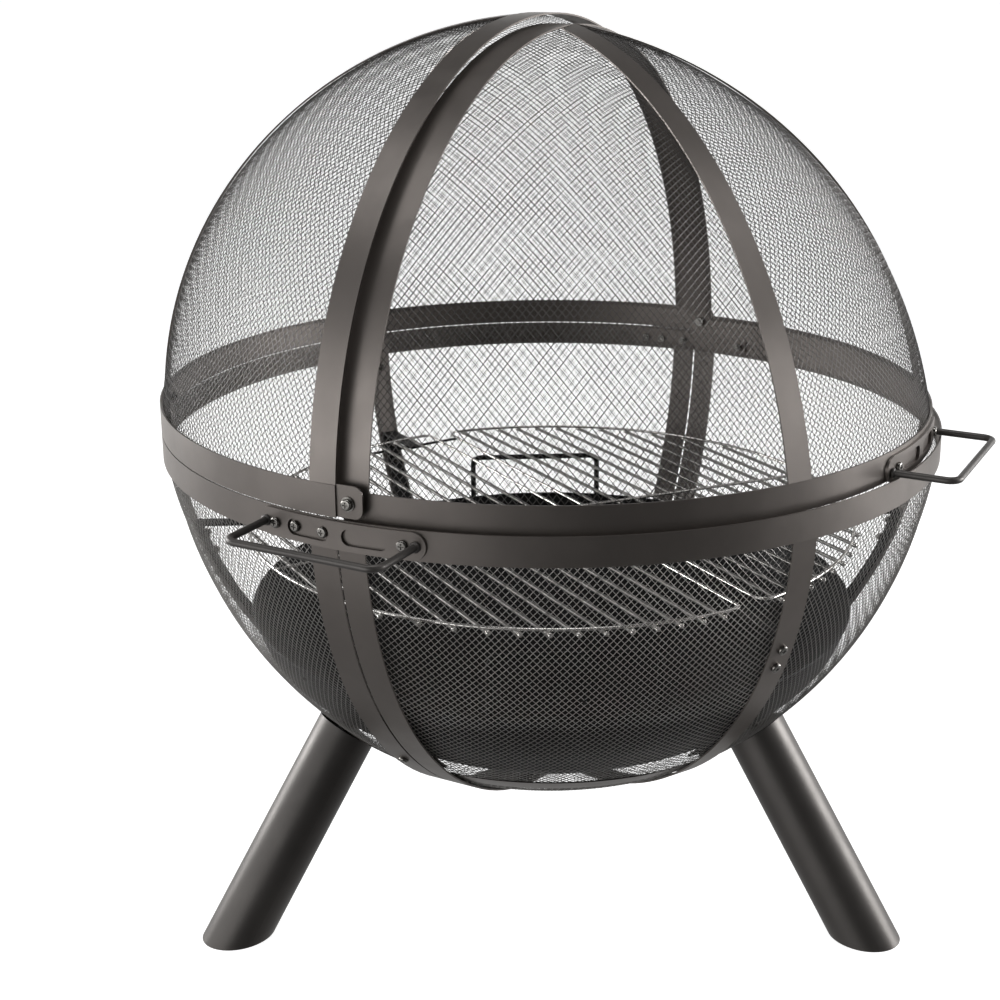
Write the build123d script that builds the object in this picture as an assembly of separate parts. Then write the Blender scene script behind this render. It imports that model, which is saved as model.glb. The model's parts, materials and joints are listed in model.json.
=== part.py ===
from build123d import *
import math
import os

os.makedirs("parts", exist_ok=True)

# Millimetres. Every piece is modelled about the centre of the ball (Z up, the
# door's middle towards -Y, the two pivots on -X and +X). put() then moves it
# up and back, so that the file's origin is on the floor, in the middle.
H = 488.0  # ball centre above the floor
DY = 22.6  # ball centre behind the middle of the whole

R = 381.0  # outer face of the fixed bands
RD = 371.0  # outer face of the door's bands, which nest inside
T = 1.5  # band thickness
W = 25.0  # width of a rib
RM = 379.4  # outer face of the fixed mesh
RMD = 369.4  # outer face of the door's mesh
TM = 1.2  # mesh thickness

LOW_Z = (-27.8, -2.0)  # lower rings
DOME_Z = (-0.8, 26.3)  # ring of the fixed dome
DOOR_Z = (-6.0, 20.0)  # ring of the door
SLIT = 1.0  # half of the slit between the two lower seam ribs
PIVOT_Y, PIVOT_Z = -11.0, 12.0

written = []


def put(name, *things):
    solids = []
    for thing in things:
        solids += list(thing.solids())
    whole = solids[0] if len(solids) == 1 else Compound(solids)
    whole = whole.moved(Location((0, DY, H)))
    whole.label = name
    export_step(whole, "parts/" + name + ".step")
    written.append((name, len(solids)))


def slab(y0=-700.0, y1=700.0, z0=-700.0, z1=700.0, x0=-700.0, x1=700.0):
    return Pos((x0 + x1) / 2, (y0 + y1) / 2, (z0 + z1) / 2) * Box(
        x1 - x0, y1 - y0, z1 - z0
    )


def hoop(ro, t, z0, z1):
    return Pos(0, 0, (z0 + z1) / 2) * (
        Cylinder(ro, z1 - z0) - Cylinder(ro - t, z1 - z0)
    )


def hoop_y(ro, t, y0, y1):
    """A band that stands in the XZ plane."""
    return Pos(0, (y0 + y1) / 2, 0) * (
        Rot(90, 0, 0) * (Cylinder(ro, y1 - y0) - Cylinder(ro - t, y1 - y0))
    )


def shell(ro, t):
    return Sphere(ro) - Sphere(ro - t)


def outward(phi):
    a = math.radians(phi)
    return (math.sin(a), -math.cos(a))


def turn(phi):
    """Turns local +X to the direction phi (0 is the front, 90 is +X)."""
    return Rot(0, 0, phi - 90)


def mid_rib(phi, ro, z0, z1, ycut):
    rib = hoop_y(ro, T, -W / 2, W / 2) & slab(x0=0, z0=z0, z1=z1)
    rib = turn(phi) * rib
    front = math.cos(math.radians(phi)) > 0
    return rib & (slab(y1=-ycut) if front else slab(y0=ycut))


def clip(poly, nx, ny, c):
    """Keeps the part of a polygon where nx*x + ny*y >= c."""
    out = []
    for i, a in enumerate(poly):
        b = poly[(i + 1) % len(poly)]
        da = nx * a[0] + ny * a[1] - c
        db = nx * b[0] + ny * b[1] - c
        if da >= 0:
            out.append(a)
        if da * db < 0:
            k = da / (da - db)
            out.append((a[0] + k * (b[0] - a[0]), a[1] + k * (b[1] - a[1])))
    return out


def gore(ro, phi_a, phi_b, z0, z1, back, edge=4.0, seam=18.0, solid=False):
    """One panel of mesh, tucked under the bands around it."""
    poly = [(-430, -430), (430, -430), (430, 430), (-430, 430)]
    if phi_a is not None:
        a = math.radians(phi_a)
        poly = clip(poly, math.cos(a), math.sin(a), edge)
    if phi_b is not None:
        a = math.radians(phi_b)
        poly = clip(poly, -math.cos(a), -math.sin(a), edge)
    poly = clip(poly, 0, 1 if back else -1, seam)
    prism = Pos(0, 0, z0) * extrude(make_face(Polyline(*poly, close=True)), z1 - z0)
    return prism if solid else shell(ro, TM) & prism


def frame_at(phi, alpha, r, y=0.0):
    """A plane on the ball: local Z points out. alpha is the angle above the
    ball's middle, and y is an offset along the tangent."""
    a = math.radians(alpha)
    d = outward(phi)
    t = (-d[1], d[0])
    z = (d[0] * math.cos(a), d[1] * math.cos(a), math.sin(a))
    o = (z[0] * r + t[0] * y, z[1] * r + t[1] * y, z[2] * r)
    return Plane(origin=o, x_dir=(t[0], t[1], 0), z_dir=z)


def flat_at(phi, s, r, z):
    """A plane on an upright hoop of radius r: s is the arc from phi."""
    p = phi + math.degrees(s / r)
    d = outward(p)
    return Plane(
        origin=(d[0] * r, d[1] * r, z), x_dir=(-d[1], d[0], 0), z_dir=(d[0], d[1], 0)
    )


def pan_screw(plane, length, r=2.5, head_r=4.75, head_h=3.1):
    """A pan head with a cross recess. The plane lies under the head."""
    head = Pos(0, 0, head_h / 2) * Cylinder(head_r, head_h)
    head = fillet(head.edges().group_by(Axis.Z)[-1], head_h * 0.55)
    for k in (0, 90):
        head -= Pos(0, 0, head_h) * (Rot(0, 0, k) * Box(head_r * 1.05, 1.1, 2.6))
    body = head + Pos(0, 0, -length / 2) * Cylinder(r, length)
    return plane * body


def hex_nut(plane, r=2.5, flats=8.0, h=4.0):
    """A nut that hangs down from the plane."""
    prism = extrude(RegularPolygon(flats / 2, 6, major_radius=False), h)
    prism -= Pos(0, 0, h / 2) * Cylinder(r + 0.05, h + 2)
    return plane * (Pos(0, 0, -h) * prism)


def bore(plane, r, length=30.0):
    return plane * Cylinder(r, length)


def ringed(thing, holes):
    for h in holes:
        thing -= h
    return thing


# ---------------------------------------------------------------- fasteners
# side handles: three screws through the back half of the seam, one in front
PLATE_T = 2.5
PLATE_L, PLATE_H = 160.0, 24.0
GRIP_W, GRIP_OUT, GRIP_R = 143.0, 52.0, 3.15
END_S, SLOT_S, SLOT_L, SLOT_H = 60.5, 27.0, 42.0, 14.0
SIDE_Z = -15.0
DOOR_PLATE_Z, DOOR_GRIP_Z = 4.0, 1.5
LOW_IN = 377.9  # outer face of the splices behind the lower rings


def side_spots(phi):
    """(plane position arc, on the plate?) for one side handle's screws."""
    m = 1 if phi < 0 else -1
    # increasing arc runs towards the front on -X and towards the back on +X
    return [(-m * 60.5, True), (-m * 41.0, False), (-m * 13.0, False), (m * 60.5, True)]


handle_screws, frame_nuts, ring_holes, splice_holes = [], [], [], []
for phi in (-90, 90):
    for s, on_plate in side_spots(phi):
        seat = R + 0.1 + PLATE_T + 0.1 if on_plate else R + 0.1
        inner = 378.0 - T - 0.1
        handle_screws.append(
            pan_screw(flat_at(phi, s * seat / R, seat, SIDE_Z), seat - inner + 5.5)
        )
        frame_nuts.append(hex_nut(flat_at(phi, s * inner / R, inner, SIDE_Z)))
        ring_holes.append(bore(flat_at(phi, s, R, SIDE_Z), 2.7))

# ------------------------------------------------------------ lower half
low = hoop(R, T, *LOW_Z)
joint_low = [bore(frame_at(p, -6.33, 380), 2.7) for p in (-150, 150)]
put("lower_front_ring", ringed(low & slab(y1=-SLIT), ring_holes))
put("lower_back_ring", ringed(low & slab(y0=SLIT), ring_holes))

top = LOW_Z[0] - 0.05
# each strap is screwed to the back rib and welded to the front one
seam_spots = [(s, SLIT + W / 2) for s in (-1, 1)]


def seam_plane(s, y, r):
    # 45 degrees below the ball's middle, in the XZ plane, moved along Y
    c = math.cos(math.radians(45))
    return Plane(origin=(s * r * c, y, -r * c), x_dir=(0, 1, 0), z_dir=(s * c, 0, -c))


seam_holes = [bore(seam_plane(s, y, 380), 2.7) for s, y in seam_spots]
for name, y0, y1 in (
    ("lower_front_seam_rib", -SLIT - W, -SLIT),
    ("lower_back_seam_rib", SLIT, SLIT + W),
):
    put(name, ringed(hoop_y(R, T, y0, y1) & slab(z1=top), seam_holes))

# the four ribs between the seams, with the holes for the support brackets
SUP_A = [-math.degrees(math.asin(z / 381.0)) for z in (133.0, 152.0)]
ycut = SLIT + W + 0.3
for name, phi in (
    ("lower_front_left_rib", -30),
    ("lower_front_right_rib", 30),
    ("lower_back_left_rib", -150),
    ("lower_back_right_rib", 150),
):
    holes = [bore(frame_at(phi, a, 380), 2.7) for a in SUP_A]
    if abs(phi) == 150:
        holes += joint_low
    put(name, ringed(mid_rib(phi, R, -400, top, ycut), holes))

# legs: the axis of each, and what it goes through
LEG_PHI = {"left": -123.3, "right": -3.3, "back": 116.7}
FOOT_R, LEG_R, LEG_T = 352.3, 30.0, 1.5
LEAN = math.atan2(122.0, 191.0)
LEG_UP = (-math.sin(LEAN), math.cos(LEAN))


def on_axis(dist):
    """The point (r, z) of a leg's axis at this distance from the centre."""
    b = FOOT_R * LEG_UP[0] + (-H) * LEG_UP[1]
    c = FOOT_R**2 + H**2 - dist**2
    s = -b - math.sqrt(b * b - c)
    return (FOOT_R + s * LEG_UP[0], -H + s * LEG_UP[1])


def leg_plane(phi, dist):
    """Local Z runs down the leg."""
    r, z = on_axis(dist)
    d = outward(phi)
    return Plane(
        origin=(d[0] * r, d[1] * r, z),
        x_dir=(-d[1], d[0], 0),
        z_dir=(-LEG_UP[0] * d[0], -LEG_UP[0] * d[1], -LEG_UP[1]),
    )


leg_holes = {k: bore(leg_plane(p, 378.0), 5.0, 40) for k, p in LEG_PHI.items()}

MESH_TOP = LOW_Z[0] + 6.3
for name, a, b, back, leg in (
    ("lower_front_left_mesh", None, -30, False, None),
    ("lower_front_middle_mesh", -30, 30, False, "right"),
    ("lower_front_right_mesh", 30, None, False, None),
    ("lower_back_right_mesh", None, 150, True, "back"),
    ("lower_back_middle_mesh", 150, 210, True, None),
    ("lower_back_left_mesh", 210, None, True, "left"),
):
    panel = gore(RM, a, b, -400, MESH_TOP, back)
    if leg:
        panel -= leg_holes[leg]
    put(name, panel)

# splices behind the lower rings at the two seams
splices = []
for phi in (-90, 90):
    piece = hoop(378.0, T, -20.9, -3.6) & slab(y0=-68, y1=68)
    piece = piece & (slab(x1=0) if phi < 0 else slab(x0=0))
    splices.append(ringed(piece, ring_holes))
put("seam_splices", *splices)

# straps behind the two lower seam ribs
straps = []
for s in (-1, 1):
    piece = shell(377.9, T) & slab(y0=-24, y1=24)
    wedge = Plane.XZ * Polygon(
        (0, 0),
        (s * 900 * math.cos(math.radians(43)), -900 * math.sin(math.radians(43))),
        (s * 900 * math.cos(math.radians(47)), -900 * math.sin(math.radians(47))),
        align=None,
    )
    piece = piece & extrude(wedge, 60, both=True)
    straps.append(ringed(piece, seam_holes))
put("seam_straps", *straps)

strap_screws = []
for s, y in seam_spots:
    strap_screws.append(pan_screw(seam_plane(s, y, R + 0.1), 9.3))
    # the strap follows the ball, so it lies a little deeper away from Y = 0
    rin = math.sqrt((377.9 - T) ** 2 - (abs(y) + 4.7) ** 2) - 0.1
    frame_nuts.append(hex_nut(seam_plane(s, y, rin)))

# ------------------------------------------------------------ fixed dome
dome_top = DOME_Z[1] + 0.05
joint_high = [bore(frame_at(p, 2.02, 380), 2.7) for p in (-150, 150)]
put("dome_ring", ringed(hoop(R, T, *DOME_Z) & slab(y0=0), joint_high))
put("dome_seam_rib", hoop_y(R, T, 0, W) & slab(z0=dome_top))
for name, phi in (("dome_left_rib", -150), ("dome_right_rib", 150)):
    put(name, mid_rib(phi, R, dome_top, 400, W + 0.3))
for name, a, b in (
    ("dome_right_mesh", None, 150),
    ("dome_middle_mesh", 150, 210),
    ("dome_left_mesh", 210, None),
):
    put(name, gore(RM, a, b, DOME_Z[1] - 6.3, 400, True))

# straps that hold the dome to the lower half, one at each back rib
joint_straps = []
for p in (-150, 150):
    wedge = Plane.XZ * Polygon(
        (0, 0),
        (900 * math.cos(math.radians(3.4)), 900 * math.sin(math.radians(3.4))),
        (900 * math.cos(math.radians(8)), -900 * math.sin(math.radians(8))),
        align=None,
    )
    piece = hoop_y(377.9, T, -10, 10) & extrude(wedge, 60, both=True)
    joint_straps.append(ringed(turn(p) * piece, joint_low + joint_high))
    strap_screws.append(pan_screw(frame_at(p, -6.33, R + 0.1), 11.5))
    strap_screws.append(pan_screw(frame_at(p, 2.02, R + 0.6), 12.0))
    for a in (-6.33, 2.02):
        frame_nuts.append(hex_nut(frame_at(p, a, 377.9 - T - 0.1)))
put("joint_straps", *joint_straps)

# pivot tabs: they reach forward from behind the dome's ring
TAB_Z = (-0.3, 27.3)
tabs, pivot_screws, pivot_washers, pivot_nuts = [], [], [], []
for s in (-1, 1):
    face = Plane.YZ * (
        Pos(-3.6, (TAB_Z[0] + TAB_Z[1]) / 2)
        * Rectangle(41.2, TAB_Z[1] - TAB_Z[0])
    )
    block = extrude(face, s * 420)
    block = fillet(block.edges().filter_by(Axis.X).group_by(Axis.Y)[0], 8)
    tab = hoop(RM, T, TAB_Z[0] - 1, TAB_Z[1] + 1) & block
    at = Plane(origin=(s * 380, PIVOT_Y, PIVOT_Z), x_dir=(0, 1, 0), z_dir=(s, 0, 0))
    # above the ring it stays in front of the seam rib
    tab -= Pos(0, 49.7, 76.2) * Box(900, 100, 100)
    tabs.append(tab - bore(at, 3.2))

    def station(x):
        return Plane(
            origin=(s * x, PIVOT_Y, PIVOT_Z), x_dir=(0, 1, 0), z_dir=(s, 0, 0)
        )

    pivot_screws.append(pan_screw(station(380.55), 18.2, 3.0, 4.9, 3.2))
    outer = Pos(0, 0, 0.5) * (Cylinder(6.2, 1.0) - Cylinder(3.2, 3))
    spacer = Pos(0, 0, 3.05) * (Cylinder(6.0, 6.1) - Cylinder(3.2, 9))
    pivot_washers += [station(379.5) * outer, station(371.35) * spacer]
    pivot_nuts.append(hex_nut(station(368.7), 3.0, 10.0, 5.0))
put("pivot_tabs", *tabs)
put("pivot_screws", *pivot_screws)
put("pivot_washers", *pivot_washers)
put("pivot_nuts", *pivot_nuts)

# ------------------------------------------------------------------ door
door_seat = RD + 0.1 + PLATE_T + 0.1
door_in = RD - T - 0.1
door_holes = [bore(flat_at(0, s, RD, DOOR_PLATE_Z), 2.7) for s in (-END_S, END_S)]
pins = [
    bore(
        Plane(origin=(s * RD, PIVOT_Y, PIVOT_Z), x_dir=(0, 1, 0), z_dir=(s, 0, 0)), 3.05
    )
    for s in (-1, 1)
]
put("door_ring", ringed(hoop(RD, T, *DOOR_Z) & slab(y1=-0.4), door_holes + pins))
door_top = DOOR_Z[1] + 0.05
# the seam rib reaches back under the dome's own, so no light shows between
put("door_seam_rib", hoop_y(RD, T, -W, 8.0) & slab(z0=door_top))

# The door's two middle ribs are flatter than the ball: one wide arc from the
# ring's top to the seam rib. ARC_C is its centre, as (outwards, up).
ARC_R, ARC_C = 438.8, (-60.95, -59.6)
for name, phi in (("door_left_rib", -30), ("door_right_rib", 30)):
    rib = Pos(ARC_C[0], 0, ARC_C[1]) * hoop_y(ARC_R, T, -W / 2, W / 2)
    rib = turn(phi) * (rib & slab(x0=0, z0=door_top))
    put(name, rib & slab(y1=-W - 0.3))


def arc_reach(alpha):
    """Distance of the ribs' outer face from the ball's centre."""
    a = math.radians(alpha)
    b = -ARC_C[0] * math.cos(a) - ARC_C[1] * math.sin(a)
    c = ARC_C[0] ** 2 + ARC_C[1] ** 2 - ARC_R**2
    return -b + math.sqrt(b * b - c)


def flattened(ro, cut):
    """A ball of radius ro, flattened all around to the ribs' arc."""
    lens = Pos(ARC_C[0], ARC_C[1]) * Circle(ARC_R - cut)
    lens = Plane.XZ * (lens & (Pos(250, 150) * Rectangle(500, 600)))
    return revolve(lens, Axis.Z, 360) & Sphere(ro)


# middle panel: follows the arc between the two ribs
tuck = RD - RMD
panel = flattened(RMD, tuck) - flattened(RMD - TM, tuck + TM)
block = gore(RMD, -30, 30, DOOR_Z[1] - 7, 400, False, solid=True)
put("door_middle_mesh", panel & block)


def side_panel(side):
    """From a middle rib (on the arc) to the seam rib (on the ball)."""
    rows = []
    for k in range(23):
        alpha = 2.0 + (86.0 - 2.0) * k / 22
        level = RD * math.cos(math.radians(alpha))
        first = 30.0 + math.degrees(math.asin(4.0 / level))
        last = math.degrees(math.acos(18.0 / level))
        row = []
        for j in range(15):
            phi = first + (last - first) * j / 14
            # flat until it is clear of the rib, then out towards the ball
            near = max(level * math.sin(math.radians(phi - 30.0)) - 14.0, 0.0)
            far = max(level * math.cos(math.radians(phi)) - 20.0, 0.0)
            w = far / (far + near + 0.001)
            reach = RMD - w * max(RD - arc_reach(alpha), 0.0)
            d = outward(side * phi)
            c = math.cos(math.radians(alpha))
            row.append(
                Vector(
                    d[0] * c * reach,
                    d[1] * c * reach,
                    math.sin(math.radians(alpha)) * reach,
                )
            )
        rows.append(row)
    face = Face.make_surface_from_array_of_points(rows, tol=0.02)
    # the inward one of the two is the smaller
    both = [Solid.thicken(face, t) for t in (TM, -TM)]
    return min(both, key=lambda thick: abs(thick.volume))


put("door_left_mesh", side_panel(-1))
put("door_right_mesh", side_panel(1))


# --------------------------------------------------------------- handles
def handle(phi, ring_r, plate_z, grip_z, spots):
    ro = ring_r + 0.1 + PLATE_T
    outline = SlotOverall(PLATE_L, PLATE_H)
    for s in (-SLOT_S, SLOT_S):
        outline -= Pos(s, 0) * SlotOverall(SLOT_L, SLOT_H)
    block = extrude(Plane.YZ * outline, 600)
    plate = hoop(ro, PLATE_T, -PLATE_H, PLATE_H) & block
    plate = turn(phi) * (Pos(0, 0, plate_z) * plate)
    plate = ringed(
        plate, [bore(flat_at(phi, s * ro / ring_r, ro, plate_z), 2.7) for s in spots]
    )
    g = GRIP_W / 2
    x0 = math.sqrt(ro * ro - g * g) + 0.75
    x1 = ring_r + GRIP_OUT
    path = FilletPolyline((x0, -g), (x1, -g), (x1, g), (x0, g), radius=10)
    grip = sweep(Plane(origin=path @ 0, z_dir=path % 0) * Circle(GRIP_R), path=path)
    grip = turn(phi) * (Pos(0, 0, grip_z) * grip)
    return plate, grip


for name, phi in (("left_handle", -90), ("right_handle", 90)):
    plate, grip = handle(phi, R, SIDE_Z, SIDE_Z, (-END_S, END_S))
    put(name + "_plate", plate)
    put(name + "_grip", grip)
plate, grip = handle(0, RD, DOOR_PLATE_Z, DOOR_GRIP_Z, (-END_S, END_S))
put("door_handle_plate", plate)
put("door_handle_grip", grip)
door_fix = []
for s in (-END_S, END_S):
    door_fix.append(
        pan_screw(
            flat_at(0, s * door_seat / RD, door_seat, DOOR_PLATE_Z),
            door_seat - door_in + 5.5,
        )
    )
    door_fix.append(hex_nut(flat_at(0, s * door_in / RD, door_in, DOOR_PLATE_Z)))
put("door_handle_screws", *door_fix)

# ------------------------------------------------------ support brackets
GRATE_Z = -113.0
RIM_R, BAR_R, CROSS_R = 1.5, 1.8, 1.5
BAR_Z = GRATE_Z - RIM_R - 0.05 - BAR_R
ARM_TOP = BAR_Z - BAR_R - 0.3
BOWL_T, BOWL_RIM_Z = 1.2, -198.0
# the bowl's outline: degrees below the ball's middle, distance from it
BOWL = ((31, 356), (33.2, 362.5), (35.5, 367), (38, 370.5), (42, 371.5))
BOWL += ((47, 369), (55, 364), (65, 360.5), (78, 358.8), (90, 358.5))
PAD_R = 370.0  # inside of the pads that the bowl rests on
BT = 2.5


def sector(ro, ri, a0, a1):
    k = 900.0
    wedge = Polygon(
        (0, 0),
        (k * math.cos(math.radians(a0)), -k * math.sin(math.radians(a0))),
        (k * math.cos(math.radians(a1)), -k * math.sin(math.radians(a1))),
        align=None,
    )
    return (Circle(ro) - Circle(ri)) & wedge


a_top = math.degrees(math.asin(-ARM_TOP / LOW_IN))
arm_x1 = math.sqrt(LOW_IN**2 - ARM_TOP**2)
spine = sector(LOW_IN, LOW_IN - BT, a_top, 46.4)
arm = Pos((287 + arm_x1 - 1.0) / 2, ARM_TOP - BT / 2) * Rectangle(
    arm_x1 - 1.0 - 287, BT
)
lower_arm = sector(LOW_IN, PAD_R, 46.0, 46.4)
cradle = sector(PAD_R + BT, PAD_R, 46.0, 49.0)
profile = spine + arm + lower_arm + cradle
bracket = extrude(Plane.XZ * profile, 8, both=True)
# two of the brackets stand near the grate's split: a rod there carries both halves
ledge = Pos(294, 0, ARM_TOP - 1.6) * (Rot(90, 0, 0) * Cylinder(1.5, 120))
brackets, bracket_screws = [], []
for phi in (-150, -30, 30, 150):
    holes = [bore(frame_at(phi, a, 378), 2.7) for a in SUP_A]
    piece = bracket + ledge if phi in (-30, 150) else bracket
    brackets.append(ringed(turn(phi) * piece, holes))
    for a in SUP_A:
        bracket_screws.append(pan_screw(frame_at(phi, a, R + 0.1), 12.0))
        frame_nuts.append(hex_nut(frame_at(phi, a, LOW_IN - BT - 0.1)))
put("support_brackets", *brackets)
put("bracket_screws", *bracket_screws)
put("handle_screws", *handle_screws)
put("strap_screws", *strap_screws)
put("frame_nuts", *frame_nuts)

# -------------------------------------------------------------- leg hoop
leg_hoop = shell(LOW_IN, T) & slab(z0=-308, z1=-290)
leg_hoop = ringed(
    leg_hoop, [bore(leg_plane(p, 378.0), 4.3, 40) for p in LEG_PHI.values()]
)
put("leg_hoop", leg_hoop)

LEG_TOP = 380.6
plates, bolts = [], []
for name, phi in LEG_PHI.items():
    r0, z0 = on_axis(LEG_TOP)
    length = (z0 + H) / LEG_UP[1] + 80
    # the tube's mouth is cut to the ball, 0.4 mm off the mesh
    tube = Pos(0, 0, length / 2 - 40) * (
        Cylinder(LEG_R, length + 80) - Cylinder(LEG_R - LEG_T, length + 80)
    )
    leg = (leg_plane(phi, LEG_TOP) * tube) & slab(z0=-H, z1=-200)
    put("leg_" + name, leg - Sphere(RM + 0.4))
    # end plate and boss, as one welded piece inside the tube's mouth
    r1, z1 = on_axis(380.6)
    boss_l = math.hypot(r1 - r0, z1 - z0) + 8.0
    piece = Pos(0, 0, boss_l / 2) * Cylinder(9.0, boss_l)
    piece += Pos(0, 0, boss_l + 1.5) * Cylinder(LEG_R - LEG_T - 0.1, 3.0)
    piece -= Pos(0, 0, boss_l / 2) * Cylinder(4.3, boss_l + 20)
    plates.append(leg_plane(phi, 380.6) * piece)
    # bolt from inside the ball, nut under the end plate
    seat = 375.5
    r2, z2 = on_axis(seat)
    grip_l = math.hypot(r2 - r1, z2 - z1) + boss_l + 3.0
    shank = grip_l + 10.5
    bolt = Pos(0, 0, shank / 2) * Cylinder(4.0, shank)
    bolt += Pos(0, 0, -5.3) * extrude(RegularPolygon(6.5, 6, major_radius=False), 5.3)
    nut = extrude(RegularPolygon(6.5, 6, major_radius=False), 6.5)
    nut -= Pos(0, 0, 3.25) * Cylinder(4.05, 9)
    at = leg_plane(phi, seat)
    bolts += [at * bolt, at * (Pos(0, 0, grip_l + 0.1) * nut)]
put("leg_end_plates", *plates)
put("leg_bolts", *bolts)

# ------------------------------------------------------------- fire bowl
def bowl_body(inset):
    pts = []
    for a, r in BOWL:
        c, d = math.cos(math.radians(a)), -math.sin(math.radians(a))
        pts.append(((r - inset) * c, (r - inset) * d))
    pts += [(-x, z) for x, z in reversed(pts[:-1])]
    face = make_face(Spline(*pts) + Line(pts[-1], pts[0]))
    face = face & (Pos(400, -300) * Rectangle(800, 800))
    return revolve(Plane.XZ * face, axis=Axis.Z)


bowl = (bowl_body(0) - bowl_body(BOWL_T)) & slab(z1=BOWL_RIM_Z)
put("fire_bowl", bowl)
LOOP_P, LOOP_S, LOOP_TOP, LOOP_R = 284.5, 74.0, -144.5, 3.0
loops = []
for phi in (-59.0, 121.0):
    pts = [(-LOOP_S, -212.5), (-LOOP_S, LOOP_TOP), (LOOP_S, LOOP_TOP), (LOOP_S, -212.5)]
    path = Plane.YZ * FilletPolyline(*pts, radius=9)
    wire = sweep(Plane(origin=path @ 0, z_dir=path % 0) * Circle(LOOP_R), path=path)
    loops.append(turn(phi) * (Pos(LOOP_P, 0, 0) * wire))
put("bowl_loops", *loops)

# ----------------------------------------------------------------- grate
# two half-moons, split off the centre. Local Y runs along the bars.
GRATE_R, PITCH, OVER = 304.0, 21.2, 5.0
across = turn(57.6)
for name, place, chord, corner, skew in (
    ("right_grate", across, 35.0, 12, -7.2),
    ("left_grate", across * Rot(0, 0, 180), -11.5, 6, 2.5),
):
    moon = Circle(GRATE_R) & (Pos(chord + 350, 0) * Rectangle(700, 800))
    moon = fillet(moon.vertices(), corner)
    wire = moon.faces()[0].outer_wire()
    rim = sweep(Plane(origin=wire @ 0, z_dir=wire % 0) * Circle(RIM_R), path=wire)
    rim = Pos(0, 0, GRATE_Z) * rim
    x0, x1 = chord + RIM_R + 0.5, GRATE_R - RIM_R - 0.15
    cross = Pos((x0 + x1) / 2, 0, BAR_Z + BAR_R + 0.05 + CROSS_R) * (
        Rot(0, 90, 0) * Cylinder(CROSS_R, x1 - x0)
    )
    cross = Rot(0, 0, skew) * cross
    bars = []
    x = chord + PITCH
    while x < GRATE_R - 8:
        half = math.sqrt(GRATE_R**2 - x * x) + RIM_R + OVER
        bar = Rot(90, 0, 0) * Cylinder(BAR_R, 2 * half)
        bars.append(Pos(x, 0, BAR_Z) * bar)
        x += PITCH
    put(name + "_rim", place * rim, place * cross)
    put(name + "_bars", *[place * b for b in bars])

print(len(written), "nodes")
for name, count in written:
    print(name, count)
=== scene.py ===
"""Ball fire pit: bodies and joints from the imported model, looks from here.

Everything is in metres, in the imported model's frame.
"""
import json
import math

import bmesh
import bpy
import numpy as np
from mathutils import Matrix, Vector


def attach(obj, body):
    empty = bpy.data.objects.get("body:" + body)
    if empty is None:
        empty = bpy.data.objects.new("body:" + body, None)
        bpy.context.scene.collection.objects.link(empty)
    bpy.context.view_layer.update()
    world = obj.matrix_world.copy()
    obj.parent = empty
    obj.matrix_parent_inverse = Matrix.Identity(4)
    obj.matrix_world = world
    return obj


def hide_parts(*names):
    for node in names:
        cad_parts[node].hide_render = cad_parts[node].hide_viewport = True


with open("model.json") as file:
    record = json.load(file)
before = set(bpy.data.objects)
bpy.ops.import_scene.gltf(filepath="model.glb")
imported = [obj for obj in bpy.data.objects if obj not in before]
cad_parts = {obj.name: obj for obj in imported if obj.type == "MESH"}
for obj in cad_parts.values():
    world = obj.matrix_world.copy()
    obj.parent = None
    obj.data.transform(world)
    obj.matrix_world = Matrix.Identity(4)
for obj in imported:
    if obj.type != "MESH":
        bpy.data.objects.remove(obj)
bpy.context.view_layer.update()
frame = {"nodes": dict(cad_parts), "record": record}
NODES = frame["nodes"]

# --------------------------------------------------------------- sizes
BALL = Vector((0.0, 0.0226, 0.488))  # the ball's centre
MM = 0.001
LOW_BOTTOM = -27.8  # foot of the lower rings, mm from the ball's middle
DOME_TOP, DOOR_TOP = 26.3, 20.0  # tops of the dome's and the door's rings
R_MESH, R_MESH_DOOR = 378.8, 368.8  # middle of the mesh's thickness
CELL_W, CELL_H = 6.3, 8.0  # one diamond of the mesh
STRAND_W, STRAND_T = 0.57, 0.30  # a strand's width and thickness
WEAVE = 0.15  # how far a strand goes in and out
R_BAND, R_BAND_DOOR = 381.0, 371.0  # outer faces of the bands
RIB_PHI, RIB_EDGE = 30.0, 5.0  # the middle ribs, and where the mesh stops behind them
PLATE_T = 2.5  # handle plates
GRATE_R, BAR_PITCH, BAR_Z = 304.0, 21.2, -116.35  # grate's rim and bars
GRATE_TURN = 57.6  # direction across the bars
DROP_OUT, DROP_R = 4.2, 2.7  # drops of weld past the rim, and their radius
GRIP_HALF = 71.5  # half the width of a grip
BEAD_R, BEAD_T, BEAD_LUMPS, BEAD_TURNS = 3.3, 1.5, 0.22, 22  # weld beads
BOWL_RIM_R, BOWL_RIM_Z, BOWL_ROLL = 302.8, -198.0, 1.9
BOWL_TURNS, RING_SIDES = 240, 10  # facets of the bowl's edge, sides of any ring


def outward(phi):
    a = math.radians(phi)
    return np.array((math.sin(a), -math.cos(a), 0.0))


def collection():
    return bpy.context.scene.collection


def new_object(name, verts, faces, smooth=True):
    me = bpy.data.meshes.new(name)
    me.from_pydata([tuple(v) for v in verts], [], [tuple(f) for f in faces])
    me.update()
    if smooth:
        me.polygons.foreach_set("use_smooth", [True] * len(me.polygons))
    ob = bpy.data.objects.new(name, me)
    collection().objects.link(ob)
    return ob


# ----------------------------------------------------------- materials
def material(name, build, **sockets):
    mat = bpy.data.materials.new(name)
    mat.use_nodes = True
    tree = mat.node_tree
    bsdf = tree.nodes["Principled BSDF"]
    for key, value in sockets.items():
        bsdf.inputs[key.replace("_", " ")].default_value = value
    if build:
        build(tree, bsdf)
    return mat


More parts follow.
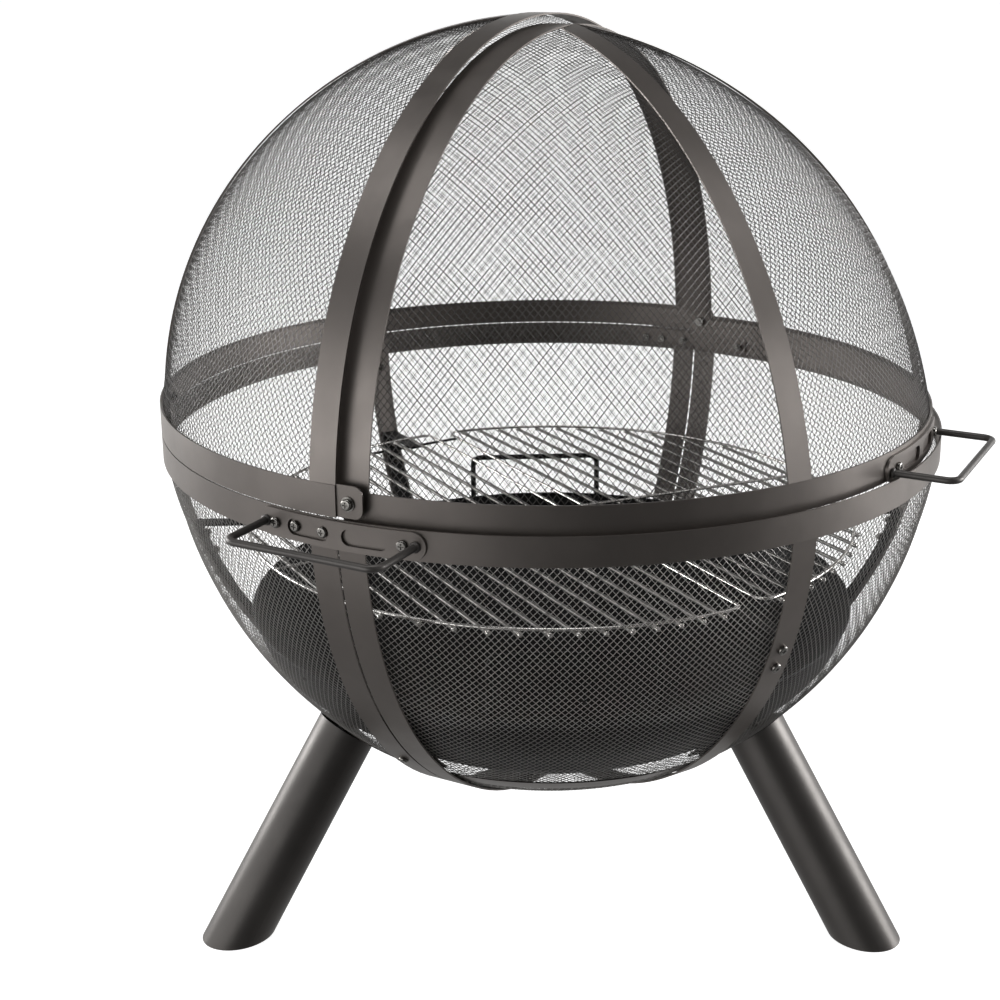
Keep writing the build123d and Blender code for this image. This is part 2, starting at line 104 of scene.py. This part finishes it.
def node(tree, kind, **sets):
    n = tree.nodes.new(kind)
    for key, value in sets.items():
        if key in n.inputs:
            n.inputs[key].default_value = value
        else:
            setattr(n, key, value)
    return n


def noise(tree, scale, detail, rough, coords):
    n = node(tree, "ShaderNodeTexNoise")
    n.inputs["Scale"].default_value = scale
    n.inputs["Detail"].default_value = detail
    n.inputs["Roughness"].default_value = rough
    tree.links.new(coords, n.inputs["Vector"])
    return n


def ramp(tree, fac, stops):
    r = node(tree, "ShaderNodeValToRGB")
    els = r.color_ramp.elements
    while len(els) < len(stops):
        els.new(0.5)
    for el, (pos, col) in zip(els, stops):
        el.position = pos
        el.color = (*col, 1.0) if len(col) == 3 else col
    tree.links.new(fac, r.inputs["Fac"])
    return r


def grey(v):
    return (v, v, v)


def coords_of(tree):
    return node(tree, "ShaderNodeTexCoord").outputs["Object"]


def bump(tree, bsdf, heights):
    """heights: (socket, strength, distance) from the coarse to the fine."""
    last = None
    for height, strength, distance in heights:
        b = node(tree, "ShaderNodeBump")
        b.inputs["Strength"].default_value = strength
        b.inputs["Distance"].default_value = distance
        tree.links.new(height, b.inputs["Height"])
        if last:
            tree.links.new(last, b.inputs["Normal"])
        last = b.outputs["Normal"]
    tree.links.new(last, bsdf.inputs["Normal"])


def satin_paint(dark, light, rough_lo, rough_hi, grain):
    """High-temperature paint: cloudy colour, orange peel, fine grain."""

    def build(tree, bsdf):
        co = coords_of(tree)
        cloud = noise(tree, 9.0, 4.0, 0.6, co)
        col = ramp(tree, cloud.outputs["Fac"], ((0.3, dark), (0.72, light)))
        tree.links.new(col.outputs["Color"], bsdf.inputs["Base Color"])
        patch = noise(tree, 34.0, 5.0, 0.65, co)
        r = ramp(
            tree,
            patch.outputs["Fac"],
            ((0.25, grey(rough_lo)), (0.75, grey(rough_hi))),
        )
        tree.links.new(r.outputs["Color"], bsdf.inputs["Roughness"])
        peel = noise(tree, 420.0, 2.0, 0.5, co)
        fine = noise(tree, 2600.0, 2.0, 0.5, co)
        bump(
            tree,
            bsdf,
            (
                (peel.outputs["Fac"], grain, 0.00012),
                (fine.outputs["Fac"], grain, 0.00005),
            ),
        )

    return build


def plated(dark, light, streak, rough=(0.16, 0.36)):
    """Bright wire: fine drawing marks and slightly cloudy plating."""

    def build(tree, bsdf):
        co = coords_of(tree)
        cloud = noise(tree, 60.0, 4.0, 0.6, co)
        col = ramp(tree, cloud.outputs["Fac"], ((0.3, dark), (0.7, light)))
        tree.links.new(col.outputs["Color"], bsdf.inputs["Base Color"])
        r = ramp(
            tree,
            noise(tree, 240.0, 4.0, 0.6, co).outputs["Fac"],
            ((0.3, grey(rough[0])), (0.75, grey(rough[1]))),
        )
        tree.links.new(r.outputs["Color"], bsdf.inputs["Roughness"])
        fine = noise(tree, 1800.0, 2.0, 0.5, co)
        bump(tree, bsdf, ((fine.outputs["Fac"], streak, 0.00004),))

    return build


BAND = material(
    "band_paint",
    satin_paint((0.170, 0.152, 0.140), (0.215, 0.193, 0.178), 0.34, 0.44, 0.22),
    Metallic=0.7,
)
LEGS = material(
    "leg_paint",
    satin_paint((0.080, 0.074, 0.070), (0.108, 0.100, 0.094), 0.36, 0.46, 0.25),
    Metallic=0.6,
)
WIRE = material(
    "wire_paint",
    satin_paint((0.085, 0.079, 0.075), (0.120, 0.112, 0.106), 0.38, 0.50, 0.20),
    Metallic=0.5,
)
MESH = material(
    "mesh_paint",
    satin_paint((0.075, 0.071, 0.068), (0.110, 0.104, 0.100), 0.26, 0.36, 0.0),
    Metallic=0.8,
)
# the lower panels' strands: the same mesh paint made much lighter, a painted
# highlight for the light they catch against the dark bowl
MESH_PAINTED_HIGHLIGHT = material(
    "mesh_paint_painted_highlight",
    satin_paint((0.25, 0.24, 0.23), (0.34, 0.325, 0.31), 0.26, 0.36, 0.0),
    Metallic=0.8,
)
BOWL = material(
    "bowl_enamel",
    satin_paint((0.004, 0.004, 0.004), (0.008, 0.008, 0.008), 0.45, 0.60, 0.30),
    Metallic=0.0,
    Specular_IOR_Level=0.2,
)
STEEL = material(
    "zinc_steel",
    plated((0.20, 0.19, 0.18), (0.33, 0.32, 0.30), 0.3),
    Metallic=1.0,
)
GRATE = material(
    "grate_nickel",
    plated((0.17, 0.165, 0.155), (0.24, 0.23, 0.22), 0.25, (0.28, 0.46)),
    Metallic=1.0,
)
# the same plating as the bars, made near white: a painted highlight for the grate's
# rim and its weld drops
GRATE_PAINTED_HIGHLIGHT = material(
    "grate_nickel_painted_highlight",
    plated((0.84, 0.82, 0.79), (0.94, 0.92, 0.89), 0.25, (0.10, 0.28)),
    Metallic=1.0,
)
SLOTS = {
    "band_paint": BAND,
    "mesh_paint": MESH,
    "leg_paint": LEGS,
    "wire_paint": WIRE,
    "zinc_steel": STEEL,
    "grate_nickel": GRATE,
    "bowl_enamel": BOWL,
}
SLOT_OF = {s["node"]: s["material_slot"] for s in frame["record"]["subparts"]}
# nodes that look different from the rest of their slot: the grate's rims take a much
# brighter copy of the nickel as a painted highlight, and the support brackets take
# the black bowl enamel
OWN_LOOK = {
    "right_grate_rim": GRATE_PAINTED_HIGHLIGHT,
    "left_grate_rim": GRATE_PAINTED_HIGHLIGHT,
    "support_brackets": BOWL,
}

for name, ob in NODES.items():
    mat = OWN_LOOK.get(name, SLOTS[SLOT_OF[name]])
    if not ob.material_slots:
        ob.data.materials.append(mat)
    for s in ob.material_slots:
        s.link = "OBJECT"
        s.material = mat

# small radii on the edges of the sheet metal, so that they catch the light
for name, ob in NODES.items():
    if name.endswith(("_rib", "_ring", "_plate", "_brackets", "_tabs")):
        bevel = ob.modifiers.new("edge", "BEVEL")
        bevel.width = 0.35 * MM
        bevel.segments = 2
        bevel.limit_method = "ANGLE"
        bevel.angle_limit = math.radians(50)
        bevel.harden_normals = False


# --------------------------------------------------------------- mesh
ARC_R, ARC_C = 438.8, (-60.95, -59.6)  # arc of the door's two middle ribs
ARC_INSET = 0.35
STRIP_RIB, STRIP_SEAM = 14.0, 20.0  # the mesh follows its band this far beside it
PANEL_HALF = 34.0  # degrees to each side of a panel's middle


def door_reach(p):
    """Radius of the door's mesh in the direction p: on the ribs' arc between
    the middle ribs, and from there out to the ball at the seam."""
    level = np.hypot(p[..., 0], p[..., 1])
    b = -ARC_C[0] * level - ARC_C[1] * p[..., 2]
    c = ARC_C[0] ** 2 + ARC_C[1] ** 2 - (ARC_R - ARC_INSET) ** 2
    arc = -b + np.sqrt(b * b - c)
    dip = np.clip(R_BAND_DOOR - arc, 0.0, None)
    phi = np.arctan2(np.abs(p[..., 0]), -p[..., 1])
    past_rib = level * np.sin(phi - math.radians(RIB_PHI)) * R_BAND_DOOR
    near = np.clip(past_rib - STRIP_RIB, 0.0, None)
    far = np.clip(level * np.cos(phi) * R_BAND_DOOR - STRIP_SEAM, 0.0, None)
    w = np.where(near > 0.0, far / (far + near + 1e-6), 1.0)
    return R_MESH_DOOR - w * dip


def slack_reach(depth, phi):
    """The ball's mesh, pulled in a little between its bands.

    It is deepest midway between two ribs, and not pulled in at a ring or the pole.
    """

    def reach(p):
        turned = np.arctan2(p[..., 0], -p[..., 1]) - math.radians(phi)
        turned = (turned + math.pi) % (2 * math.pi) - math.pi
        across = np.clip(np.cos(turned * 3.0), 0.0, 1.0)
        z = np.abs(p[..., 2])
        up = np.clip((z - 0.07) / 0.16, 0.0, 1.0) * np.clip((1.0 - z) / 0.6, 0.0, 1.0)
        return R_MESH - depth * across * up

    return reach


def strands(phi, reach, radius, inside):
    """Both families of strands over one panel, as bars of four sides.

    phi is the panel's middle, and inside says which points it covers. The
    diamonds keep their size: u runs across the panel, v up its middle.
    """
    d, t, z = outward(phi), outward(phi + 90.0), np.array((0.0, 0.0, 1.0))
    half_u = radius * math.radians(PANEL_HALF)
    half_rows = int(radius * math.pi / CELL_H)
    rows = np.arange(-half_rows, half_rows + 1)
    v = rows * CELL_H / 2
    count = int(2 * half_u / CELL_W) + len(rows)
    verts, faces = [], []
    base = 0
    for sign in (1, -1):
        i = np.arange(-count, count + 1)
        u = i[:, None] * CELL_W + sign * rows[None, :] * CELL_W / 2
        vv = np.broadcast_to(v[None, :], u.shape)
        beta, alpha = u / radius, vv / radius
        p = (
            (np.cos(beta) * np.cos(alpha))[..., None] * d
            + (np.cos(beta) * np.sin(alpha))[..., None] * z
            + np.sin(beta)[..., None] * t
        )
        ok = (np.abs(u) < half_u) & (np.abs(alpha) < math.pi / 2) & inside(p * radius)
        lift = np.where(rows % 2 == 0, WEAVE, -WEAVE) * sign
        centre = p * (reach(p) + lift[None, :])[..., None]
        along = np.gradient(centre, axis=1)
        along /= np.linalg.norm(along, axis=2, keepdims=True)
        side = np.cross(p, along)
        side /= np.linalg.norm(side, axis=2, keepdims=True)
        corners = np.stack(
            [
                centre + a * side * STRAND_W / 2 + b * p * STRAND_T / 2
                for a, b in ((1, 1), (-1, 1), (-1, -1), (1, -1))
            ],
            axis=2,
        )
        index = np.full(ok.shape, -1)
        index[ok] = np.arange(ok.sum())
        verts.append(corners[ok].reshape(-1, 3))
        link = ok[:, :-1] & ok[:, 1:]
        a = index[:, :-1][link] * 4 + base
        b = index[:, 1:][link] * 4 + base
        for k in range(4):
            m = (k + 1) % 4
            faces.append(np.stack([a + k, a + m, b + m, b + k], axis=1))
        first = ok.copy()
        first[:, 1:] &= ~ok[:, :-1]
        last = ok.copy()
        last[:, :-1] &= ~ok[:, 1:]
        lone = first & last
        s = index[first & ~lone] * 4 + base
        e = index[last & ~lone] * 4 + base
        faces.append(np.stack([s, s + 3, s + 2, s + 1], axis=1))
        faces.append(np.stack([e, e + 1, e + 2, e + 3], axis=1))
        base += int(ok.sum()) * 4
    return np.concatenate(verts), np.concatenate(faces)


def panel_test(rib_a, rib_b, back, z0, z1, seam):
    """Which points (mm from the ball's centre) lie on a panel."""

    def inside(p):
        x, y, z = p[..., 0], p[..., 1], p[..., 2]
        ok = (z > z0) & (z < z1) & ((y > seam) if back else (y < -seam))
        if rib_a is not None:
            a = math.radians(rib_a)
            ok &= math.cos(a) * x + math.sin(a) * y > RIB_EDGE
        if rib_b is not None:
            a = math.radians(rib_b)
            ok &= -math.cos(a) * x - math.sin(a) * y > RIB_EDGE
        return ok

    return inside


def make_panel(name, body, phi, reach, radius, inside):
    verts, faces = strands(phi, reach, radius, inside)
    keep = np.zeros(len(verts), bool)
    keep[faces.ravel()] = True
    new = np.cumsum(keep) - 1
    verts, faces = verts[keep], new[faces]
    verts = verts * MM + np.array(BALL)
    me = bpy.data.meshes.new(name)
    me.vertices.add(len(verts))
    me.vertices.foreach_set("co", verts.ravel())
    me.loops.add(faces.size)
    me.loops.foreach_set("vertex_index", faces.ravel().astype(np.int32))
    me.polygons.add(len(faces))
    me.polygons.foreach_set("loop_start", np.arange(0, faces.size, 4, dtype=np.int32))
    me.polygons.foreach_set("loop_total", np.full(len(faces), 4, dtype=np.int32))
    me.update(calc_edges=True)
    me.validate()
    # the lower panels take the lightened copy of the mesh paint as a painted
    # highlight
    me.materials.append(MESH_PAINTED_HIGHLIGHT if name.startswith("lower") else MESH)
    ob = bpy.data.objects.new(name, me)
    collection().objects.link(ob)
    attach(ob, body)
    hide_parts(name.replace("_strands", ""))


TOP = 400.0  # past the ball, mm
LAP = 6.0  # how far the mesh runs behind a ring
LAP_DOOR = 6.5
GAP_TOP = 0.6  # the lower back mesh also runs behind the gap over its ring
SEAM_LOW, SEAM_HIGH = 0.3, 18.0  # where the mesh stops beside the seam
SLACK_MIDDLE, SLACK_SIDE = 3.0, 7.0
for half, body, radius, z0, z1, sides in (
    ("lower", "frame", R_MESH, -TOP, LOW_BOTTOM + LAP, ("front", "back")),
    ("dome", "frame", R_MESH, DOME_TOP - LAP, TOP, ("back",)),
    ("door", "door", R_MESH_DOOR, DOOR_TOP - LAP_DOOR, TOP, ("front",)),
):
    for side in sides:
        back = side == "back"
        label = "lower_%s" % side if half == "lower" else half
        if back:
            trio = (
                ("right", 120.0, None, 150.0),
                ("middle", 180.0, 150.0, 210.0),
                ("left", 240.0, 210.0, None),
            )
        else:
            trio = (
                ("left", -60.0, None, -30.0),
                ("middle", 0.0, -30.0, 30.0),
                ("right", 60.0, 30.0, None),
            )
        for where, phi, rib_a, rib_b in trio:
            if half == "door":
                reach = door_reach
            else:
                slack = SLACK_MIDDLE if where == "middle" else SLACK_SIDE
                reach = slack_reach(slack, phi)
            top = GAP_TOP if label == "lower_back" else z1
            seam = SEAM_LOW if half == "lower" else SEAM_HIGH
            make_panel(
                "%s_%s_mesh_strands" % (label, where),
                body,
                phi,
                reach,
                radius,
                panel_test(rib_a, rib_b, back, z0, top, seam),
            )


def ring_piece(name, centre, axis, major, minor, body, mat, turns, lumps=0.0):
    """A closed ring of round wire, mm from the ball's centre.

    lumps makes it uneven, like a weld bead.
    """
    axis = np.array(axis) / np.linalg.norm(axis)
    first = np.cross(axis, (0.3, 0.2, 0.93))
    first /= np.linalg.norm(first)
    second = np.cross(axis, first)
    rng = np.random.default_rng(len(name) + turns)
    swell = 1.0 + lumps * rng.uniform(-1.0, 1.0, turns)
    verts, faces = [], []
    for i in range(turns):
        a = 2 * math.pi * i / turns
        spoke = first * math.cos(a) + second * math.sin(a)
        for j in range(RING_SIDES):
            b = 2 * math.pi * j / RING_SIDES
            r = minor * swell[i]
            p = spoke * (major + r * math.cos(b)) + axis * r * math.sin(b)
            verts.append((np.array(centre) + p) * MM + np.array(BALL))
            here, there = i * RING_SIDES, (i + 1) % turns * RING_SIDES
            m = (j + 1) % RING_SIDES
            faces.append((here + j, there + j, there + m, here + m))
    ob = new_object(name, verts, faces)
    ob.data.materials.append(mat)
    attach(ob, body)


# weld beads where each grip's wire meets its plate
for label, phi, ring_r, z, body in (
    ("left", -90.0, R_BAND, -15.0, "frame"),
    ("right", 90.0, R_BAND, -15.0, "frame"),
    ("door", 0.0, R_BAND_DOOR, 1.5, "door"),
):
    face = ring_r + 0.1 + PLATE_T
    for tag, s in (("a", -GRIP_HALF), ("b", GRIP_HALF)):
        out = math.sqrt(face * face - s * s) + 1.0
        at = outward(phi) * out + outward(phi + 90.0) * s + np.array((0.0, 0.0, z))
        ring_piece(
            "%s_grip_weld_%s" % (label, tag),
            at,
            outward(phi),
            BEAD_R,
            BEAD_T,
            body,
            WIRE,
            BEAD_TURNS,
            BEAD_LUMPS,
        )
# drops of weld on the ends of the grate's bars, in the rim's brightened nickel:
# painted highlight
for half, sign, first, count in (("right", 1, 35.0, 12), ("left", -1, 11.5, 14)):
    bm = bmesh.new()
    for k in range(1, count + 1):
        d = first + sign * BAR_PITCH * k
        reach = math.sqrt(GRATE_R * GRATE_R - d * d) + DROP_OUT
        for end in (-1, 1):
            p = outward(GRATE_TURN) * d + outward(GRATE_TURN + 90.0) * reach * end
            at = (p + np.array((0.0, 0.0, BAR_Z))) * MM + np.array(BALL)
            bmesh.ops.create_icosphere(
                bm, subdivisions=2, radius=DROP_R * MM, matrix=Matrix.Translation(at)
            )
    me = bpy.data.meshes.new(half + "_grate_weld_drops")
    bm.to_mesh(me)
    bm.free()
    me.polygons.foreach_set("use_smooth", [True] * len(me.polygons))
    me.materials.append(GRATE_PAINTED_HIGHLIGHT)
    drops = bpy.data.objects.new(me.name, me)
    collection().objects.link(drops)
    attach(drops, half + "_grate")
# the fire bowl's edge is rolled over
ring_piece(
    "bowl_rim_roll",
    (0.0, 0.0, BOWL_RIM_Z),
    (0.0, 0.0, 1.0),
    BOWL_RIM_R,
    BOWL_ROLL,
    "fire_bowl_body",
    BOWL,
    BOWL_TURNS,
)

FLOOR = material(
    "studio_floor",
    None,
    Base_Color=(0.5, 0.5, 0.5, 1.0),
    Roughness=0.9,
    Emission_Color=(1.0, 1.0, 1.0, 1.0),
    Emission_Strength=0.93,
)
FLOOR_HALF = 60.0
corners = ((-1, -1), (1, -1), (1, 1), (-1, 1))
floor = new_object(
    "floor",
    [(x * FLOOR_HALF, y * FLOOR_HALF, 0.0) for x, y in corners],
    ((0, 1, 2, 3),),
    False,
)
floor.data.materials.append(FLOOR)
floor.visible_diffuse = False
floor.visible_glossy = False

# white to look at, but the metal sees a dark ceiling over a bright horizon
world = bpy.data.worlds.new("studio")
world.use_nodes = True
tree = world.node_tree
seen = tree.nodes["Background"]
seen.inputs["Color"].default_value = (1, 1, 1, 1)
seen.inputs["Strength"].default_value = 1.0
room = node(tree, "ShaderNodeBackground")
split = node(tree, "ShaderNodeSeparateXYZ")
direction = node(tree, "ShaderNodeTexCoord").outputs["Generated"]
tree.links.new(direction, split.inputs[0])
height = node(tree, "ShaderNodeMapRange")
height.inputs["From Min"].default_value = -1.0
height.inputs["From Max"].default_value = 1.0
tree.links.new(split.outputs["Z"], height.inputs["Value"])
sky = ramp(
    tree,
    height.outputs[0],
    (
        (0.0, grey(0.32)),
        (0.38, grey(0.40)),
        (0.48, grey(1.0)),
        (0.60, grey(0.85)),
        (0.72, grey(0.08)),
        (1.0, grey(0.02)),
    ),
)
# the white sweep stands behind the object, and the camera's side is dark
facing = node(tree, "ShaderNodeVectorMath", operation="DOT_PRODUCT")
tree.links.new(direction, facing.inputs[0])
facing.inputs[1].default_value = (-0.89, -0.45, 0.0)
sweep = node(tree, "ShaderNodeMapRange")
sweep.inputs["From Min"].default_value = -0.5
sweep.inputs["From Max"].default_value = 0.7
sweep.inputs["To Min"].default_value = 1.3
sweep.inputs["To Max"].default_value = 0.16
tree.links.new(facing.outputs["Value"], sweep.inputs["Value"])
# a bright wall on the left, which the seam ribs and the left rings mirror
beside = node(tree, "ShaderNodeVectorMath", operation="DOT_PRODUCT")
tree.links.new(direction, beside.inputs[0])
beside.inputs[1].default_value = (-0.891, 0.454, 0.0)
wall = node(tree, "ShaderNodeMapRange", interpolation_type="SMOOTHSTEP")
wall.inputs["From Min"].default_value = 0.70
wall.inputs["From Max"].default_value = 0.98
wall.inputs["To Min"].default_value = 0.0
wall.inputs["To Max"].default_value = 2.4
tree.links.new(beside.outputs["Value"], wall.inputs["Value"])
total = node(tree, "ShaderNodeMath", operation="ADD")
tree.links.new(sweep.outputs[0], total.inputs[0])
tree.links.new(wall.outputs[0], total.inputs[1])
tree.links.new(total.outputs[0], room.inputs["Strength"])
tree.links.new(sky.outputs["Color"], room.inputs["Color"])
path = node(tree, "ShaderNodeLightPath")
both = node(tree, "ShaderNodeMixShader")
tree.links.new(path.outputs["Is Camera Ray"], both.inputs[0])
tree.links.new(room.outputs[0], both.inputs[1])
tree.links.new(seen.outputs[0], both.inputs[2])
tree.links.new(both.outputs[0], tree.nodes["World Output"].inputs["Surface"])
bpy.context.scene.world = world


def softbox(name, at, size, power):
    light = bpy.data.lights.new(name, "AREA")
    light.shape = "RECTANGLE"
    light.size, light.size_y = size
    light.energy = power
    ob = bpy.data.objects.new(name, light)
    ob.location = at
    ob.rotation_euler = (BALL - at).to_track_quat("-Z", "Y").to_euler()
    collection().objects.link(ob)


# the camera looks at the ball's centre from the front left
CAM_AZ, CAM_EL, CAM_DIST = -63.05, 15.49, 1.6139
FOCAL = 1.610  # focal length over image width
SHIFT = (-0.0518, -0.0966)
a, e = math.radians(CAM_AZ), math.radians(CAM_EL)
to_cam = Vector(
    (math.sin(a) * math.cos(e), -math.cos(a) * math.cos(e), math.sin(e))
)
camera_data = bpy.data.cameras.new("camera")
camera_data.sensor_width = 36.0
camera_data.lens = 36.0 * FOCAL
camera_data.shift_x, camera_data.shift_y = SHIFT
camera = bpy.data.objects.new("camera", camera_data)
camera.location = BALL + to_cam * CAM_DIST
camera.rotation_euler = (-to_cam).to_track_quat("-Z", "Y").to_euler()
collection().objects.link(camera)
bpy.context.scene.camera = camera

side = Vector((math.cos(a), math.sin(a), 0.0))
near = Vector((math.sin(a), -math.cos(a), 0.0))
softbox("left", BALL - side * 2.0 - near * 0.7 + Vector((0, 0, 0.25)), (0.9, 1.0), 34)
softbox("right", BALL + side * 2.0 - near * 0.1 + Vector((0, 0, 0.2)), (0.9, 1.0), 35)
softbox("top", BALL + Vector((0, 0, 2.4)), (1.0, 1.0), 13)
softbox("high", BALL + Vector((-0.78, 0.95, 1.82)), (0.9, 0.9), 5)
softbox("front_high", BALL + Vector((0.56, -1.34, 1.64)), (0.9, 0.9), 3.5)

scene = bpy.context.scene
scene.view_settings.view_transform = "Standard"
scene.view_settings.look = "None"
